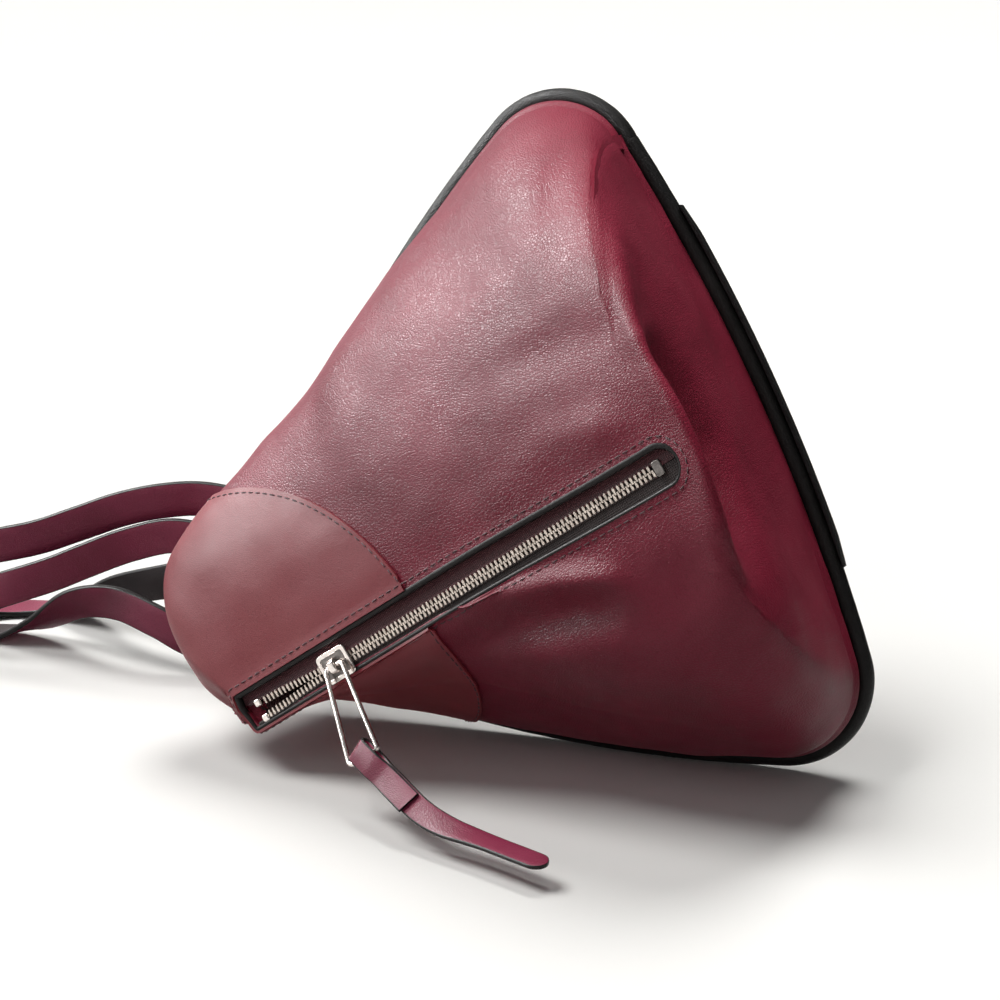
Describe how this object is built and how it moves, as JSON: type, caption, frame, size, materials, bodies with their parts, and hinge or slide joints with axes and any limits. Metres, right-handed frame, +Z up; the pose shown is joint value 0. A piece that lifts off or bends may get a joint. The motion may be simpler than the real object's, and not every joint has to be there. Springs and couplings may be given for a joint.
{
  "type": "leather handbag",
  "caption": "Soft triangular leather bag lying on its side: flat piped back panel, bulging front with a slanted zip, smooth end patch, wire-ring pull and loose shoulder straps.",
  "frame": {"origin": "middle of the underside of the whole bag's box, at floor level", "axes": "+Z up from the floor; -Y the side that the zip faces; +X from the straps' loops to the wide base"},
  "size_m": [0.4496, 0.2962, 0.2737],
  "materials": {
    "grained_leather": "burgundy, soft grain, low gloss",
    "smooth_leather": "burgundy, smooth",
    "black_edge": "black edge paint and piping",
    "stiffener_board": "pressed fibre board",
    "lining_cloth": "plain woven lining",
    "zip_tape": "woven zip tape",
    "zip_teeth": "dulled nickel plate",
    "pale_nickel": "polished pale nickel plate"
  },
  "bodies": {
    "bag": {"back_panel": "grained_leather", "panel_board": "stiffener_board", "panel_lining": "lining_cloth", "rim_piping": "black_edge", "base_strip": "black_edge", "body_shell": "grained_leather", "body_lining": "lining_cloth", "top_patch": "smooth_leather", "slot_welt": "black_edge", "zip_tape_upper": "zip_tape", "zip_teeth_upper": "zip_teeth", "top_stop_upper": "pale_nickel", "zip_tape_lower": "zip_tape", "zip_teeth_lower": "zip_teeth", "top_stop_lower": "pale_nickel", "bottom_stop": "pale_nickel", "top_tab": "grained_leather", "base_tab_lower": "grained_leather", "strap_upper": "grained_leather", "base_tab_upper": "grained_leather", "strap_lower": "grained_leather"},
    "slider": {"slider_body": "pale_nickel", "slider_base": "pale_nickel"},
    "ring": {"pull_ring": "pale_nickel"},
    "pull": {"zip_pull": "grained_leather"}
  },
  "joints": [
    {"name": "zip_slide", "type": "slide", "parent": "bag", "child": "slider", "axis": [-0.7443, 0.2877, -0.6027], "range_m": [-0.165, 0.035]},
    {"name": "ring_swing", "type": "hinge", "parent": "slider", "child": "ring", "pos_m": [-0.0019, -0.05468, 0.05686], "axis": [-0.7443, 0.2877, -0.6027], "range_deg": [-5, 140]},
    {"name": "pull_swing", "type": "hinge", "parent": "ring", "child": "pull", "pos_m": [0.0114, -0.08145, 0.02764], "axis": [-0.7443, 0.2877, -0.6027], "range_deg": [-45, 50]}
  ]
}
